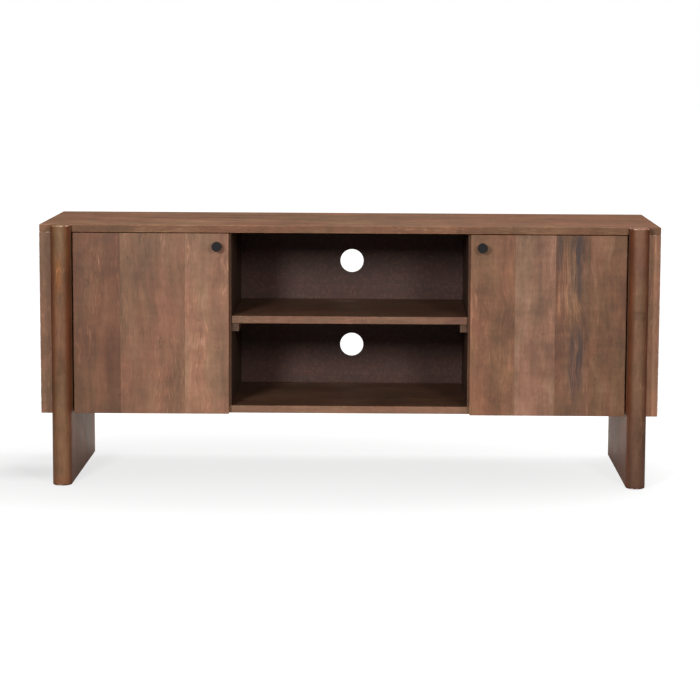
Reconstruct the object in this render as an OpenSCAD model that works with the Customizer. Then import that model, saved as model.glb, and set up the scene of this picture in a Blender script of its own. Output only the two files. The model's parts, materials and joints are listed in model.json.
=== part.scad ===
// Low media console: two doors beside an open centre bay, standing on two slab legs.
// Frame: origin at the centre of the overall base, +X right, +Y to the back, +Z up. Millimetres.

/* [Overall size] */
// Overall width over the side panels
body_w = 1500; // [1300:10:1800]
// Depth of the top panel, front plane to back edge
top_d = 415; // [380:5:460]
// Overall height to the top surface
body_h = 634; // [580:2:700]
// Clear height under the cabinet
under_h = 173; // [140:1:200]
// How far each leg's rounded nose stands ahead of the top's front plane
nose_out = 40; // [30:1:60]

/* [Boards] */
// Thickness of the top, bottom, dividers, shelves and doors
board_t = 18; // [16:1:22]
// Thickness of each side panel
side_t = 30; // [20:1:34]
// Thickness of each slab leg, which is also the width of its rounded nose
leg_t = 47; // [40:1:60]
// Thickness of the back panel
back_t = 6; // [4:1:12]
// How far the back panel sits in from the top's back edge
back_in = 4; // [4:1:10]
// Plan radius of the top panel's corners
corner_r = 5; // [2:1:12]
// Depth of the notches in the top's front edge that the leg noses rise through
notch_d = 12; // [6:1:20]

/* [Centre bay] */
// Clear width of the open centre bay
bay_w = 575; // [480:5:700]
// Height of the centre shelf's upper face
shelf_top = 411; // [360:1:450]
// How far the shelf's front edge sits behind the top's front plane
shelf_in = 26; // [22:1:60]
// Width of the cleats under the shelves
cleat_w = 18; // [14:1:24]
// Height of the cleats under the shelves
cleat_h = 20; // [16:1:30]
// Radius of the cable holes in the back panel
hole_r = 30; // [20:1:40]
// Height of the lower cable hole's centre
hole_low = 291.5; // [260:0.5:320]
// Height of the upper cable hole's centre
hole_high = 510.5; // [480:0.5:540]

/* [Doors] */
// Gap between a door's outer edge and the leg
door_gap = 3; // [3:0.5:5]
// Gap between a door's top edge and the top panel
door_drop = 2; // [2:0.5:4]
// How far a door's face sits behind the top's front plane
door_in = 2.5; // [1:0.5:5]
// Gap between a door's rear face and the front edges it closes on
door_air = 1.5; // [1.5:0.5:3]
// Width of divider edge left showing beside a closed door
reveal = 5; // [3:1:8]
// Radius of the round knob
knob_r = 12; // [8:1:18]
// How far the knob stands out from the door's face
knob_out = 24; // [18:1:35]
// Knob centre in from the door's inner edge
knob_side = 27.5; // [20:0.5:50]
// Knob centre below the door's top edge
knob_drop = 30.5; // [20:0.5:60]

/* [Hinges] */
// Hinge pin axis in from the door's outer edge
pin_in = 19; // [18:1:20]
// Hinge pin axis behind the door's front face
pin_deep = 10; // [9:0.5:10]
// Hinge centre height from the nearer door end
hinge_end = 80; // [70:5:110]
// Radius of the hinge pin
pin_r = 1.75; // [1.5:0.05:2]
// Running clearance between the pin and the arm's barrel
pin_play = 0.05; // [0.02:0.01:0.1]

/* [Hidden] */
$fn = 64;

// Planes along Y and Z
y_front = -(top_d + nose_out) / 2;
y_top = y_front + nose_out;
y_end = y_front + nose_out + top_d;
y_face = y_top + door_in;
y_rear = y_face + board_t;
y_case = y_rear + door_air;
y_back = y_end - back_in - back_t;
z_under = body_h - board_t;
z_floor = under_h + board_t;
z_shelf = shelf_top - board_t;

// Planes along X, for the right half
x_side = body_w / 2;
x_leg_out = x_side - side_t;
x_leg_in = x_leg_out - leg_t;
x_leg_mid = (x_leg_in + x_leg_out) / 2;
x_door = x_leg_in - door_gap;
x_bay = bay_w / 2;
x_div = x_bay + board_t;
x_reveal = x_bay + reveal;

// Fits between a fastener and the wood or metal around it
snug = 0.05;
slip = 0.5;

// Legs and their glides
nose_steps = 24;
glide_r = 14;
glide_t = 5;
glide_proud = 1;
glide_y = 180;

// Doors
z_door = under_h;
door_h = z_under - door_drop - z_door;
knob_x = x_reveal + knob_side;
knob_z = z_door + door_h - knob_drop;
knob_bolt_r = 2;

// Hinges, in a frame on the pin axis: +X towards the leg, +Y to the back
pin_x = x_door - pin_in;
pin_y = y_face + pin_deep;
rear = board_t - pin_deep;
leg_face = pin_in + door_gap;
cup_r = 17.4;
cup_wall = 1.4;
cup_edge = 5;
cup_deep = 13;
cup_x = pin_in - cup_edge - cup_r - 0.1;
rim_r = 19.5;
rim_t = 1.2;
wing_w = 12;
wing_h = 60;
wing_x = cup_x - 9.5;
cup_screw_z = 24;
pin_len = 33;
barrel_r = 3.2;
arm_w = 12;
strap_t = 2.5;
strap_turn = 145;
strap_len = 25;
hook_y = 24;
arm_t = 7;
arm_end = 70;
plate_t = 2;
plate_h = 48;
plate_y = 42;
plate_len = 24;
plate_screw_z = 17;
arm_screw_y = 60;
relief_w = 43;
relief_d = 14;
screw_r = 1.75;
head_r = 3.4;
head_t = 1.8;

// Catches
catch_x = 383;
catch_w = 36;
catch_h = 16;
catch_d = 15;
catch_air = 0.5;
strike_w = 32;
strike_h = 11;
strike_t = 1.2;
strike_z = z_under - 9.5;
bump_r = 4;
bump_t = 1.1;
bump_low = 250;
bump_high = 590;

// Fixings
bolt_r = 3;
bolt_head_r = 5.5;
bolt_head_t = 3;
bolt_len = 70;
bolt_y = [-60, 150];
bolt_z = [230, 570];
dowel_r = 4;
dowel_len = 28;
dowel_in_board = 12;
side_dowel_y = [-120, 20, 160];
div_dowel_y = [-90, 110];
end_dowel_y = [-90, 30, 150];
back_screw_len = 25;
div_screw_z = [240, 450, 590];
floor_screw_x = [-540, -180, 180, 540];
cleat_front = 5;
cleat_len = 350;
cleat_screw_len = 28;
cleat_y_a = [-110, 130];
cleat_y_b = [-80, 160];
cleat_inner_y = -140;

wood = [0.45, 0.31, 0.24];
dark_wood = [0.32, 0.22, 0.18];
black = [0.06, 0.06, 0.07];
steel = [0.72, 0.73, 0.75];
pale = [0.80, 0.68, 0.50];

// ---- Helpers ----
function unit_left(a) = [-sin(a), cos(a)];
function mitre(c, a, b, h) =
  c + h * (unit_left(a) + unit_left(b)) / (1 + unit_left(a) * unit_left(b));
function arc(cx, cy, r, a0, a1, n) =
  [for (i = [0 : n]) [cx + r * cos(a0 + (a1 - a0) * i / n), cy + r * sin(a0 + (a1 - a0) * i / n)]];

module flip(side) {
  if (side < 0) mirror([1, 0, 0]) children();
  else children();
}

module block(x0, x1, y0, y1, z0, z1) {
  translate([x0, y0, z0]) cube([x1 - x0, y1 - y0, z1 - z0]);
}

module rod_x(x0, x1, r) {
  translate([x0, 0, 0]) rotate([0, 90, 0]) cylinder(h = x1 - x0, r = r);
}

module rod_y(y0, y1, r) {
  translate([0, y1, 0]) rotate([90, 0, 0]) cylinder(h = y1 - y0, r = r);
}

module rod_z(z0, z1, r) {
  translate([0, 0, z0]) cylinder(h = z1 - z0, r = r);
}

module each_hinge_z() {
  for (z = [z_door + hinge_end, z_door + door_h - hinge_end]) translate([0, 0, z]) children();
}

module at_hinge(side, high) {
  z = high ? z_door + door_h - hinge_end : z_door + hinge_end;
  flip(side) translate([pin_x, pin_y, z]) children();
}

// Places for the loose dowels: top to sides and dividers, dividers to floor, floor to legs
module top_dowel_spots() {
  for (y = side_dowel_y) translate([x_side - side_t / 2, y, z_under]) children();
  for (y = div_dowel_y) translate([x_bay + board_t / 2, y, z_under]) children();
}

module floor_dowel_spots() {
  for (y = div_dowel_y) translate([x_bay + board_t / 2, y, z_floor]) children();
}

module end_dowel_spots() {
  for (y = end_dowel_y) translate([x_leg_in, y, under_h + board_t / 2]) children();
}

module bolt_spots() {
  for (y = bolt_y, z = bolt_z) translate([x_leg_in, y, z]) children();
}

module back_spots() {
  for (s = [-1, 1], z = div_screw_z) translate([s * (x_bay + board_t / 2), 0, z]) children();
  for (x = floor_screw_x) translate([x, 0, under_h + board_t / 2]) children();
}

module top_dowel(r) { rod_z(dowel_in_board - dowel_len, dowel_in_board, r); }
module floor_dowel(r) { rod_z(-dowel_in_board, dowel_len - dowel_in_board, r); }
module end_dowel(r) { rod_x(-dowel_len / 2, dowel_len / 2, r); }

// ---- Cabinet boards ----
module top_outline() {
  hx = x_side - corner_r;
  polygon(concat(
    arc(-hx, y_top + corner_r, corner_r, 180, 270, 6),
    arc(hx, y_top + corner_r, corner_r, 270, 360, 6),
    arc(hx, y_end - corner_r, corner_r, 0, 90, 6),
    arc(-hx, y_end - corner_r, corner_r, 90, 180, 6)
  ));
}

module top_panel() {
  color(wood) difference() {
    translate([0, 0, z_under]) linear_extrude(board_t) top_outline();
    for (s = [-1, 1]) flip(s) {
      block(x_leg_in - slip, x_leg_out + slip, y_top - 1, y_top + notch_d, z_under - 1, body_h + 1);
      top_dowel_spots() top_dowel(dowel_r + snug);
      catch_screw_spots() rod_z(-1, 9, screw_r + snug);
    }
  }
}

module side_panel(side) {
  color(wood) flip(side) difference() {
    block(x_leg_out, x_side, y_top, y_end, under_h, z_under);
    top_dowel_spots() top_dowel(dowel_r + snug);
    bolt_spots() rod_x(leg_t - 1, bolt_len, bolt_r + snug);
  }
}

// Rounded-nose outline of a leg, running back to the plane y1
module leg_outline(y1) {
  r = leg_t / 2;
  polygon(concat(
    arc(x_leg_mid, y_front + r, r, 180, 360, nose_steps),
    [[x_leg_out, y1], [x_leg_in, y1]]
  ));
}

module leg(side) {
  color(wood) flip(side) difference() {
    union() {
      translate([0, 0, glide_proud]) linear_extrude(z_under - glide_proud) leg_outline(y_end);
      translate([0, 0, z_under - 1]) linear_extrude(board_t + 1) leg_outline(y_top + notch_d - slip);
    }
    bolt_spots() {
      rod_x(-1, leg_t + 1, bolt_r + snug);
      rod_x(-1, bolt_head_t, bolt_head_r + slip);
    }
    end_dowel_spots() end_dowel(dowel_r + snug);
    glide_spots() rod_z(-1, glide_t, glide_r + snug);
    translate([pin_x, pin_y, 0]) each_hinge_z() plate_screw_spots()
      rod_x(0, 14, screw_r + snug);
    outer_cleat_spots() rod_x(-1, cleat_screw_len - cleat_w, screw_r + snug);
  }
}

module glide_spots() {
  for (y = [-glide_y, glide_y]) translate([x_leg_mid, y, 0]) children();
}

module bottom_panel() {
  color(wood) difference() {
    block(-x_leg_in, x_leg_in, y_case, y_back, under_h, z_floor);
    for (s = [-1, 1]) flip(s) {
      block(x_leg_in - relief_w, x_leg_in + 1, y_case - 1, y_case + relief_d, under_h - 1, z_floor + 1);
      floor_dowel_spots() floor_dowel(dowel_r + snug);
      end_dowel_spots() end_dowel(dowel_r + snug);
    }
    back_spots() rod_y(y_back + back_t - back_screw_len, y_back + 1, screw_r + snug);
  }
}

module divider(side) {
  color(wood) difference() {
    flip(side) difference() {
      block(x_bay, x_div, y_case, y_back, z_floor, z_under);
      top_dowel_spots() top_dowel(dowel_r + snug);
      floor_dowel_spots() floor_dowel(dowel_r + snug);
      center_cleat_spots() rod_x(-1, cleat_screw_len - cleat_w, screw_r + snug);
      inner_cleat_spots() rod_x(cleat_w - cleat_screw_len, 1, screw_r + snug);
    }
    back_spots() rod_y(y_back + back_t - back_screw_len, y_back + 1, screw_r + snug);
  }
}

module back_panel() {
  color(dark_wood) difference() {
    block(-x_leg_in + slip, x_leg_in - slip, y_back, y_back + back_t, under_h + 1, z_under);
    for (z = [hole_low, hole_high]) translate([0, 0, z]) rod_y(y_back - 1, y_back + back_t + 1, hole_r);
    back_spots() rod_y(y_back - 1, y_back + back_t + 1, screw_r + snug);
  }
}

// ---- Shelves and their cleats ----
module center_shelf() {
  color(wood) block(-x_bay + slip, x_bay - slip, y_top + shelf_in, y_back - slip, z_shelf, shelf_top);
}

module side_shelf(side) {
  color(wood) flip(side)
    block(x_div + slip, x_leg_in - slip, cleat_inner_y, y_back - slip, z_shelf, shelf_top);
}

module center_cleat_spots() {
  for (y = cleat_y_a) translate([x_bay, y, z_shelf - cleat_h / 2]) children();
}

module inner_cleat_spots() {
  for (y = cleat_y_b) translate([x_div, y, z_shelf - cleat_h / 2]) children();
}

module outer_cleat_spots() {
  for (y = cleat_y_b) translate([x_leg_in, y, z_shelf - cleat_h / 2]) children();
}

// A cleat's screw hole, seen from its wall: the wood is on the -X side of the wall
module cleat_hole() {
  rod_x(-cleat_w - 1, 1, screw_r + snug);
  rod_x(-cleat_w - 1, head_t - cleat_w, head_r + slip);
}

module center_cleat(side) {
  y0 = y_top + shelf_in + cleat_front;
  color(wood) flip(side) difference() {
    block(x_bay - cleat_w, x_bay, y0, y0 + cleat_len, z_shelf - cleat_h, z_shelf);
    center_cleat_spots() cleat_hole();
  }
}

module inner_cleat(side) {
  y0 = cleat_inner_y + cleat_front;
  color(wood) flip(side) difference() {
    block(x_div, x_div + cleat_w, y0, y0 + cleat_len - 15, z_shelf - cleat_h, z_shelf);
    inner_cleat_spots() mirror([1, 0, 0]) cleat_hole();
  }
}

module outer_cleat(side) {
  y0 = cleat_inner_y + cleat_front;
  color(wood) flip(side) difference() {
    block(x_leg_in - cleat_w, x_leg_in, y0, y0 + cleat_len - 15, z_shelf - cleat_h, z_shelf);
    outer_cleat_spots() cleat_hole();
  }
}

// ---- Doors and knobs ----
module door(side) {
  color(wood) flip(side) difference() {
    block(x_reveal, x_door, y_face, y_rear, z_door, z_door + door_h);
    translate([pin_x, pin_y, 0]) each_hinge_z() {
      translate([cup_x, 0, 0]) rod_y(rear - cup_deep, rear + 1, cup_r + 0.1);
      cup_screw_spots() rod_y(rear - 10, rear + 1, screw_r + snug);
    }
    translate([knob_x, 0, knob_z]) rod_y(y_face - 1, y_rear + 1, knob_bolt_r + snug);
    strike_screw_spots() rod_y(y_rear - 10, y_rear + 1, screw_r + snug);
  }
}

module knob(side) {
  color(black) flip(side) translate([knob_x, y_face, knob_z]) rotate([90, 0, 0]) difference() {
    rotate_extrude() polygon([
      [0, 0], [7, 0], [7, 1.5], [4.5, 3], [4.5, knob_out - 11], [knob_r - 1, knob_out - 8],
      [knob_r, knob_out - 6.5], [knob_r, knob_out - 1.5], [knob_r - 1.5, knob_out], [0, knob_out]
    ]);
    rod_z(-1, 12, knob_bolt_r + snug);
  }
}

module knob_screw(side) {
  color(steel) flip(side) translate([knob_x, 0, knob_z]) {
    rod_y(y_face - 11, y_rear + 0.5, knob_bolt_r);
    rod_y(y_rear, y_rear + 2.2, 4);
  }
}

// ---- Concealed hinges, drawn on the pin axis ----
module cup_screw_spots() {
  for (s = [-1, 1]) translate([wing_x, 0, s * cup_screw_z]) children();
}

module plate_screw_spots() {
  for (s = [-1, 1]) translate([leg_face, plate_y + plate_len / 2, s * plate_screw_z]) children();
}

module cup(side, high) {
  color(steel) at_hinge(side, high) difference() {
    union() {
      translate([cup_x, 0, 0]) rod_y(rear - cup_deep, rear + 0.6, cup_r);
      translate([cup_x, 0, 0]) rod_y(rear, rear + rim_t, rim_r);
      block(wing_x - wing_w / 2, wing_x + wing_w / 2, rear, rear + rim_t, -wing_h / 2, wing_h / 2);
    }
    translate([cup_x, 0, 0]) rod_y(rear - cup_deep + 1, rear + rim_t + 1, cup_r - cup_wall);
    cup_screw_spots() rod_y(rear - 1, rear + rim_t + 1, screw_r + snug);
    rod_z(-pin_len / 2, pin_len / 2, pin_r + 0.02);
  }
}

module pin(side, high) {
  color(steel) at_hinge(side, high) rod_z(-pin_len / 2, pin_len / 2, pin_r);
}

module strap_outline() {
  h = strap_t / 2;
  c1 = strap_len * [cos(strap_turn), sin(strap_turn)];
  c2 = [c1[0], hook_y];
  c3 = [leg_face - plate_t - arm_t + 1, hook_y];
  polygon([
    h * unit_left(strap_turn), mitre(c1, strap_turn, 90, h), mitre(c2, 90, 0, h), c3 + h * unit_left(0),
    c3 - h * unit_left(0), mitre(c2, 90, 0, -h), mitre(c1, strap_turn, 90, -h), -h * unit_left(strap_turn)
  ]);
}

module arm(side, high) {
  x0 = leg_face - plate_t - arm_t;
  color(steel) at_hinge(side, high) difference() {
    union() {
      rod_z(-arm_w / 2, arm_w / 2, barrel_r);
      translate([0, 0, -arm_w / 2]) linear_extrude(arm_w) strap_outline();
      block(x0, x0 + arm_t, hook_y - strap_t / 2, arm_end, -arm_w / 2, arm_w / 2);
    }
    rod_z(-arm_w, arm_w, pin_r + pin_play);
    translate([0, arm_screw_y, 0]) rod_x(x0 - 1, x0 + arm_t + 1, screw_r + snug);
  }
}

module plate(side, high) {
  color(steel) at_hinge(side, high) difference() {
    block(leg_face - plate_t, leg_face, plate_y, plate_y + plate_len, -plate_h / 2, plate_h / 2);
    plate_screw_spots() rod_x(-plate_t - 1, 1, screw_r + snug);
    translate([0, arm_screw_y, 0]) rod_x(leg_face - plate_t - 1, leg_face + 1, screw_r + snug);
  }
}

module cup_screws(side) {
  color(steel) flip(side) translate([pin_x, pin_y, 0]) each_hinge_z() cup_screw_spots() {
    rod_y(rear - 9.5, rear + rim_t + 0.5, screw_r);
    rod_y(rear + rim_t, rear + rim_t + head_t, head_r);
  }
}

module plate_screws() {
  color(steel) for (s = [-1, 1]) flip(s)
    translate([pin_x, pin_y, 0]) each_hinge_z() plate_screw_spots() {
      rod_x(-plate_t - 0.5, 13.5, screw_r);
      rod_x(-plate_t - head_t, -plate_t, head_r);
    }
}

module arm_screws() {
  x0 = leg_face - plate_t - arm_t;
  color(steel) for (s = [-1, 1]) flip(s)
    translate([pin_x, pin_y, 0]) each_hinge_z() translate([0, arm_screw_y, 0]) {
      rod_x(x0 - 0.5, leg_face, screw_r);
      rod_x(x0 - head_t, x0, head_r);
    }
}

// ---- Catches, strikes and bumpers ----
module catch_screw_spots() {
  for (s = [-1, 1]) translate([catch_x + s * 12, y_rear + strike_t + catch_air + 9, z_under]) children();
}

module strike_screw_spots() {
  translate([catch_x, 0, strike_z]) children();
}

module catch(side) {
  y0 = y_rear + strike_t + catch_air;
  color(black) flip(side) difference() {
    block(catch_x - catch_w / 2, catch_x + catch_w / 2, y0, y0 + catch_d, z_under - catch_h, z_under);
    catch_screw_spots() rod_z(-catch_h - 1, 1, screw_r + snug);
    catch_screw_spots() rod_z(-catch_h - 1, head_t - catch_h, head_r + slip);
    translate([catch_x, 0, strike_z]) rod_y(y0 - 1, y0 + 3, head_r + 1);
  }
}

module strike(side) {
  color(steel) flip(side) difference() {
    block(catch_x - strike_w / 2, catch_x + strike_w / 2, y_rear, y_rear + strike_t,
      strike_z - strike_h / 2, strike_z + strike_h / 2);
    strike_screw_spots() rod_y(y_rear - 1, y_rear + strike_t + 1, screw_r + snug);
  }
}

module catch_screws() {
  color(steel) for (s = [-1, 1]) flip(s) catch_screw_spots() {
    rod_z(-catch_h + 0.5, 8.5, screw_r);
    rod_z(-catch_h, head_t - catch_h, head_r);
  }
}

module strike_screws(side) {
  color(steel) flip(side) strike_screw_spots() {
    rod_y(y_rear - 9.5, y_rear + strike_t + 0.5, screw_r);
    rod_y(y_rear + strike_t, y_rear + strike_t + head_t, head_r);
  }
}

module bumpers(side) {
  color(black) flip(side) for (z = [bump_low, bump_high])
    translate([(x_reveal + x_div) / 2, 0, z]) rod_y(y_rear, y_rear + bump_t, bump_r);
}

// ---- Fixings ----
module leg_bolts() {
  color(steel) for (s = [-1, 1]) flip(s) bolt_spots() {
    rod_x(0.5, bolt_len - 1, bolt_r);
    rod_x(0, bolt_head_t, bolt_head_r);
  }
}

module panel_dowels() {
  color(pale) for (s = [-1, 1]) flip(s) {
    top_dowel_spots() top_dowel(dowel_r);
    floor_dowel_spots() floor_dowel(dowel_r);
    end_dowel_spots() end_dowel(dowel_r);
  }
}

module back_screws() {
  color(steel) back_spots() {
    rod_y(y_back + back_t - back_screw_len, y_back + back_t + 0.5, screw_r);
    rod_y(y_back + back_t, y_back + back_t + head_t, head_r);
  }
}

module cleat_screw() {
  rod_x(0.5 - cleat_w, cleat_screw_len - cleat_w - 0.5, screw_r);
  rod_x(-cleat_w, head_t - cleat_w, head_r);
}

module cleat_screws() {
  color(steel) for (s = [-1, 1]) flip(s) {
    center_cleat_spots() cleat_screw();
    outer_cleat_spots() cleat_screw();
    inner_cleat_spots() mirror([1, 0, 0]) cleat_screw();
  }
}

module glides() {
  color(black) for (s = [-1, 1]) flip(s) glide_spots() rod_z(0, glide_t, glide_r);
}

// ---- Assembly ----
top_panel();
side_panel(-1);  // side_panel_left
side_panel(1);  // side_panel_right
leg(-1);  // leg_left
leg(1);  // leg_right
bottom_panel();
divider(-1);  // divider_left
divider(1);  // divider_right
back_panel();
center_shelf();
side_shelf(-1);  // left_shelf
side_shelf(1);  // right_shelf
center_cleat(-1);  // center_cleat_left
center_cleat(1);  // center_cleat_right
outer_cleat(-1);  // left_cleat_outer
inner_cleat(-1);  // left_cleat_inner
outer_cleat(1);  // right_cleat_outer
inner_cleat(1);  // right_cleat_inner
door(-1);  // door_left
door(1);  // door_right
knob(-1);  // knob_left
knob(1);  // knob_right
knob_screw(-1);  // knob_screw_left
knob_screw(1);  // knob_screw_right
cup(-1, true);  // cup_left_upper
cup(-1, false);  // cup_left_lower
cup(1, true);  // cup_right_upper
cup(1, false);  // cup_right_lower
pin(-1, true);  // pin_left_upper
pin(-1, false);  // pin_left_lower
pin(1, true);  // pin_right_upper
pin(1, false);  // pin_right_lower
arm(-1, true);  // arm_left_upper
arm(-1, false);  // arm_left_lower
arm(1, true);  // arm_right_upper
arm(1, false);  // arm_right_lower
plate(-1, true);  // plate_left_upper
plate(-1, false);  // plate_left_lower
plate(1, true);  // plate_right_upper
plate(1, false);  // plate_right_lower
cup_screws(-1);  // cup_screws_left
cup_screws(1);  // cup_screws_right
plate_screws();
arm_screws();
catch(-1);  // catch_left
catch(1);  // catch_right
strike(-1);  // strike_left
strike(1);  // strike_right
catch_screws();
strike_screws(-1);  // strike_screws_left
strike_screws(1);  // strike_screws_right
bumpers(-1);  // bumpers_left
bumpers(1);  // bumpers_right
leg_bolts();
panel_dowels();
back_screws();
cleat_screws();
glides();
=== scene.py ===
import json
import math

import bmesh
import bpy
from mathutils import Matrix, Vector


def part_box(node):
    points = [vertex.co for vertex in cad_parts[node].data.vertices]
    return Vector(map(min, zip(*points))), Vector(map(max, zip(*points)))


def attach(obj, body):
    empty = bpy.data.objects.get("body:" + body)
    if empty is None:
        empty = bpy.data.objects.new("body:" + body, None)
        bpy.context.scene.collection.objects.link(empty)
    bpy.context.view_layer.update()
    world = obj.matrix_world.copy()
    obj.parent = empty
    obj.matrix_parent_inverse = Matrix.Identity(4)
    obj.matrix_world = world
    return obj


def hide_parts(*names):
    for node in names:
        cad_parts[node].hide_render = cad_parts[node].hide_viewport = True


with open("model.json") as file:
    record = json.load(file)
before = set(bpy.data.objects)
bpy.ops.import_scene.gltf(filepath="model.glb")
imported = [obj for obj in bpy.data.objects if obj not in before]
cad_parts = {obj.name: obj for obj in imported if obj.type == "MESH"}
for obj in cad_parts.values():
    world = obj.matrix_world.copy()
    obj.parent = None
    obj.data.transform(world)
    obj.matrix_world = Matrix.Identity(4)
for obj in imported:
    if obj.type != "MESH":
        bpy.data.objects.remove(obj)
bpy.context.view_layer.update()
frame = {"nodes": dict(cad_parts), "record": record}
nodes = frame["nodes"]
MM = 0.001


# ---------------------------------------------------------------- camera
LENS = 114.80
LENS_SHIFT = (-0.0241, -0.0575)
CAMERA_PLACE = (0.0820, -5.5489, 1.0772)
CAMERA_YAW, CAMERA_PITCH, CAMERA_ROLL = -0.426, -6.871, 0.297


def aim(cam, place, yaw, pitch, roll):
    """Puts the camera at place, turned by yaw, pitch and roll in degrees."""
    y, p, r = (math.radians(a) for a in (yaw, pitch, roll))
    look = Vector((math.sin(y) * math.cos(p), math.cos(y) * math.cos(p), math.sin(p)))
    side = Vector((math.cos(y), -math.sin(y), 0))
    up = side.cross(look)
    right = math.cos(r) * side + math.sin(r) * up
    top = math.cos(r) * up - math.sin(r) * side
    cam.matrix_world = Matrix((
        (right.x, top.x, -look.x, place[0]),
        (right.y, top.y, -look.y, place[1]),
        (right.z, top.z, -look.z, place[2]),
        (0, 0, 0, 1)))


camera = bpy.data.objects.new("camera", bpy.data.cameras.new("camera"))
bpy.context.scene.collection.objects.link(camera)
bpy.context.scene.camera = camera
camera.data.sensor_width = 36
camera.data.lens = LENS
camera.data.shift_x, camera.data.shift_y = LENS_SHIFT
camera.data.clip_end = 50
aim(camera, CAMERA_PLACE, CAMERA_YAW, CAMERA_PITCH, CAMERA_ROLL)


# ---------------------------------------------------------------- node helpers
class Tree:
    """A material's node tree, with short calls to add and join nodes."""

    def __init__(self, name):
        self.mat = bpy.data.materials.new(name)
        self.mat.use_nodes = True
        self.t = self.mat.node_tree
        self.t.nodes.clear()
        self.out = self.t.nodes.new("ShaderNodeOutputMaterial")
        self.bsdf = self.t.nodes.new("ShaderNodeBsdfPrincipled")
        self.t.links.new(self.bsdf.outputs[0], self.out.inputs[0])

    def put(self, socket, value):
        if isinstance(value, bpy.types.NodeSocket):
            self.t.links.new(value, socket)
        elif value is not None:
            socket.default_value = value

    def math(self, op, a, b=None, c=None, clamp=False):
        n = self.t.nodes.new("ShaderNodeMath")
        n.operation = op
        n.use_clamp = clamp
        for i, v in enumerate((a, b, c)):
            self.put(n.inputs[i], v)
        return n.outputs[0]

    def xyz(self, x, y, z):
        n = self.t.nodes.new("ShaderNodeCombineXYZ")
        for i, v in enumerate((x, y, z)):
            self.put(n.inputs[i], v)
        return n.outputs[0]

    def split(self, vec):
        n = self.t.nodes.new("ShaderNodeSeparateXYZ")
        self.t.links.new(vec, n.inputs[0])
        return n.outputs

    def noise(self, vec, scale=1.0, detail=2.0, rough=0.5):
        n = self.t.nodes.new("ShaderNodeTexNoise")
        self.t.links.new(vec, n.inputs["Vector"])
        n.inputs["Scale"].default_value = scale
        n.inputs["Detail"].default_value = detail
        n.inputs["Roughness"].default_value = rough
        return n.outputs["Fac"]

    def white(self, w):
        n = self.t.nodes.new("ShaderNodeTexWhiteNoise")
        n.noise_dimensions = "1D"
        self.put(n.inputs["W"], w)
        return n.outputs["Value"], n.outputs["Color"]

    def span(self, v, a0, a1, b0=0.0, b1=1.0):
        """Eases from b0 to b1 as v goes from a0 to a1."""
        n = self.t.nodes.new("ShaderNodeMapRange")
        n.interpolation_type = "SMOOTHSTEP"
        self.put(n.inputs["Value"], v)
        for key, x in zip(("From Min", "From Max", "To Min", "To Max"), (a0, a1, b0, b1)):
            n.inputs[key].default_value = x
        return n.outputs["Result"]

    def mix(self, fac, a, b, mode="MIX"):
        n = self.t.nodes.new("ShaderNodeMix")
        n.data_type = "RGBA"
        n.blend_type = mode
        self.put(n.inputs[0], fac)
        for key, v in ((6, a), (7, b)):
            self.put(n.inputs[key], (*v, 1) if isinstance(v, tuple) else v)
        return n.outputs[2]

    def ramp(self, fac, stops, constant=False):
        n = self.t.nodes.new("ShaderNodeValToRGB")
        r = n.color_ramp
        r.interpolation = "CONSTANT" if constant else "LINEAR"
        while len(r.elements) < len(stops):
            r.elements.new(0.5)
        for e, (p, c) in zip(r.elements, stops):
            e.position = p
            e.color = (*c, 1)
        self.put(n.inputs[0], fac)
        return n.outputs[0]

    def scale(self, colour, value):
        n = self.t.nodes.new("ShaderNodeVectorMath")
        n.operation = "SCALE"
        self.t.links.new(colour, n.inputs[0])
        self.put(n.inputs["Scale"], value)
        return n.outputs[0]

    def bump(self, height, strength, distance):
        n = self.t.nodes.new("ShaderNodeBump")
        n.inputs["Strength"].default_value = strength
        n.inputs["Distance"].default_value = distance
        self.t.links.new(height, n.inputs["Height"])
        self.t.links.new(n.outputs[0], self.bsdf.inputs["Normal"])

    def set(self, **values):
        for key, v in values.items():
            self.put(self.bsdf.inputs[key.replace("_", " ")], v)


def around(t, value, amount):
    """1 plus amount times how far value is from its middle."""
    return t.math("MULTIPLY_ADD", t.math("SUBTRACT", value, 0.5), amount, 1.0)


# ---------------------------------------------------------------- wood
AXES = {"x": 0, "y": 1, "z": 2}
STAIN = (0.044, 0.027, 0.024)
BARE = (0.60, 0.45, 0.36)


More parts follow.
